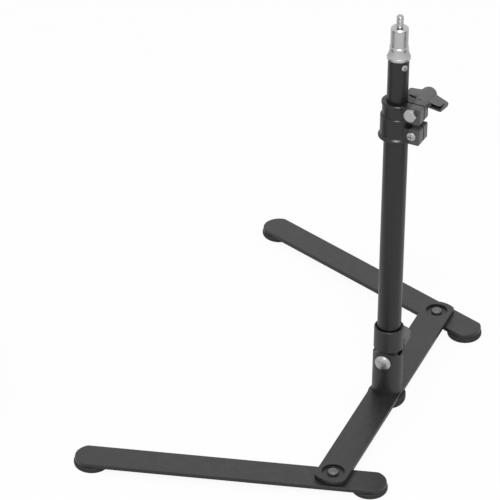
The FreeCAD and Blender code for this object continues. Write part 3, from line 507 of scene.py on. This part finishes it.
def clamp_knob():
    """The winged knob: two leaning wings melted into a domed hub, hollowed on their near faces."""
    outward = [0, 3, 6, 9, 12, 15] + [WING_REACH - inset for inset in (3, 1.5, 0.5, 0)]
    stations = [-x for x in reversed(outward[1:])] + outward
    knob = new_piece("clamp_knob_body", *tube_mesh([wing_section(x) for x in stations]))
    combine(knob, new_piece("hub", *turned_mesh(HUB_PROFILE)), "UNION")
    melt(knob, grain=0.4, passes=5)
    for low_x, high_x, low_y, high_y, depth in WING_HOLLOWS:
        rings = []
        for height, shrink in ((1.0, 0.0), (depth, 0.3)):
            rings.append([(low_x + shrink, low_y, height), (high_x - shrink, low_y, height),
                          (high_x - shrink, high_y, height), (low_x + shrink, high_y, height)])
        combine(knob, new_piece("hollow", *tube_mesh(rings)), "DIFFERENCE")
    for radius, top in KNOB_BORES:
        combine(knob, new_piece("bore", *turned_mesh([(radius, -1.0), (radius, top)], 40)), "DIFFERENCE")
    clean_skin(knob)
    smooth_shading(knob, limit=50)
    knob.data.transform(knob_frame(WING_TURN))
    stand_for(knob, "clamp_knob", KNOB)


def threaded_stud():
    """The quarter inch stud, twenty threads to the inch, with a thinner plain end inside the spigot."""
    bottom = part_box("threaded_stud")[0].z / MM
    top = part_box("threaded_stud")[1].z / MM
    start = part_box("spigot")[1].z / MM
    crest, root, core, pitch, fade_out = 3.17, 2.62, 2.55, 1.27, 0.9
    around = 48
    levels_per_turn = 12
    shares = [step / around for step in range(around)]
    heights = [bottom, start]
    count = int((top - start) / pitch * levels_per_turn)
    heights += [start + (top - start) * level / count for level in range(count + 1)]
    rings = []
    for level, height in enumerate(heights):
        fade = max(0.0, min(1.0, (top - height) / fade_out, (height - start) / fade_out))
        ring = []
        for share in shares:
            phase = ((height - start) / pitch - share) % 1.0
            # A tooth with sloping sides, a flat crest and a flat root.
            tooth = max(0.0, min(1.0, 1.55 - abs(phase - 0.5) * 4.4))
            radius = core if level < 2 else root + (crest - root) * tooth * fade
            angle = 2 * math.pi * share
            ring.append((radius * math.cos(angle), radius * math.sin(angle), height))
        rings.append(ring)
    stud = new_piece("threaded_stud_helix", *tube_mesh(rings))
    smooth_shading(stud, limit=60)
    stand_for(stud, "threaded_stud", STEEL)


clamp_knob()
threaded_stud()


# ---------------------------------------------------------------- studio

def add_light(name, place, aim, width, height, power):
    """A soft rectangular lamp at a place, pointing at aim."""
    lamp = bpy.data.lights.new(name, "AREA")
    lamp.shape = "RECTANGLE"
    lamp.size = width
    lamp.size_y = height
    lamp.energy = power
    thing = bpy.data.objects.new(name, lamp)
    bpy.context.scene.collection.objects.link(thing)
    thing.location = place
    thing.rotation_euler = (Vector(aim) - Vector(place)).to_track_quat("-Z", "Y").to_euler()


def seen_or_lit(nodes, links, seen, lit):
    """One shader for what the camera sees directly and another for light and reflections."""
    path = nodes.new("ShaderNodeLightPath")
    choose = nodes.new("ShaderNodeMixShader")
    links.new(path.outputs["Is Camera Ray"], choose.inputs["Fac"])
    links.new(lit, choose.inputs[1])
    links.new(seen, choose.inputs[2])
    return choose.outputs["Shader"]


def white_floor():
    """A pale floor that the camera sees as nearly white paper."""
    mesh = bpy.data.meshes.new("floor")
    side = 8.0
    corners = [(-side, -side, 0), (side, -side, 0), (side, side, 0), (-side, side, 0)]
    mesh.from_pydata(corners, [], [(0, 1, 2, 3)])
    floor = bpy.data.objects.new("floor", mesh)
    bpy.context.scene.collection.objects.link(floor)
    floor.location.z = -0.0003
    paint = Paint("floor_paper")
    fibres = paint.noise(90.0, 4.0)
    tone = paint.mix(fibres, grey(FLOOR_TONE * 0.96), grey(FLOOR_TONE))
    for flag in DARK_FLAGS:
        tone = paint.mix(paint.near(flag, FLAG_INNER, FLAG_OUTER), tone, grey(FLAG_TONE))
    paint.look(Base_Color=tone, Roughness=0.9, Specular_IOR_Level=0.1)
    glow = paint.nodes.new("ShaderNodeEmission")
    glow.inputs["Color"].default_value = grey(1.0)
    blend = paint.nodes.new("ShaderNodeMixShader")
    blend.inputs["Fac"].default_value = FLOOR_WHITENESS
    paint.links.new(paint.shader.outputs["BSDF"], blend.inputs[1])
    paint.links.new(glow.outputs["Emission"], blend.inputs[2])
    surface = seen_or_lit(paint.nodes, paint.links, blend.outputs["Shader"], paint.shader.outputs["BSDF"])
    paint.links.new(surface, paint.nodes["Material Output"].inputs["Surface"])
    mesh.materials.append(paint.material)


def studio_world(strength):
    """White where the camera sees it, and an even light of the given strength from all round."""
    world = bpy.data.worlds.new("studio")
    world.use_nodes = True
    bpy.context.scene.world = world
    nodes, links = world.node_tree.nodes, world.node_tree.links
    backdrop = nodes["Background"]
    backdrop.inputs["Color"].default_value = grey(1.0)
    ambient = nodes.new("ShaderNodeBackground")
    ambient.inputs["Strength"].default_value = strength
    surface = seen_or_lit(nodes, links, backdrop.outputs["Background"], ambient.outputs["Background"])
    links.new(surface, nodes["World Output"].inputs["Surface"])


def add_camera():
    """A long lens above and to the right of the front of the stand."""
    azimuth = math.radians(21.35)
    elevation = math.radians(31.99)
    roll = math.radians(0.54)
    distance = 3.0662
    target = Vector((-0.13867, 0.0, 0.13326))
    back = Vector((math.sin(azimuth) * math.cos(elevation), -math.cos(azimuth) * math.cos(elevation),
                   math.sin(elevation)))
    level_right = (-back).cross(Vector((0, 0, 1))).normalized()
    level_up = level_right.cross(-back)
    right = level_right * math.cos(roll) + level_up * math.sin(roll)
    up = level_up * math.cos(roll) - level_right * math.sin(roll)
    lens = bpy.data.cameras.new("camera")
    lens.sensor_width = 36.0
    lens.lens = 237.7
    lens.clip_end = 20.0
    camera = bpy.data.objects.new("camera", lens)
    bpy.context.scene.collection.objects.link(camera)
    turn = Matrix((right, up, back)).transposed()
    camera.matrix_world = Matrix.Translation(target + back * distance) @ turn.to_4x4()
    bpy.context.scene.camera = camera


white_floor()
studio_world(STUDIO_LEVEL)
add_light("front_box", place=(0.55, -1.35, 2.4), aim=(0.0, 0.0, 0.3), width=0.75, height=0.35, power=42)
add_camera()
bpy.context.scene.view_settings.view_transform = "Standard"
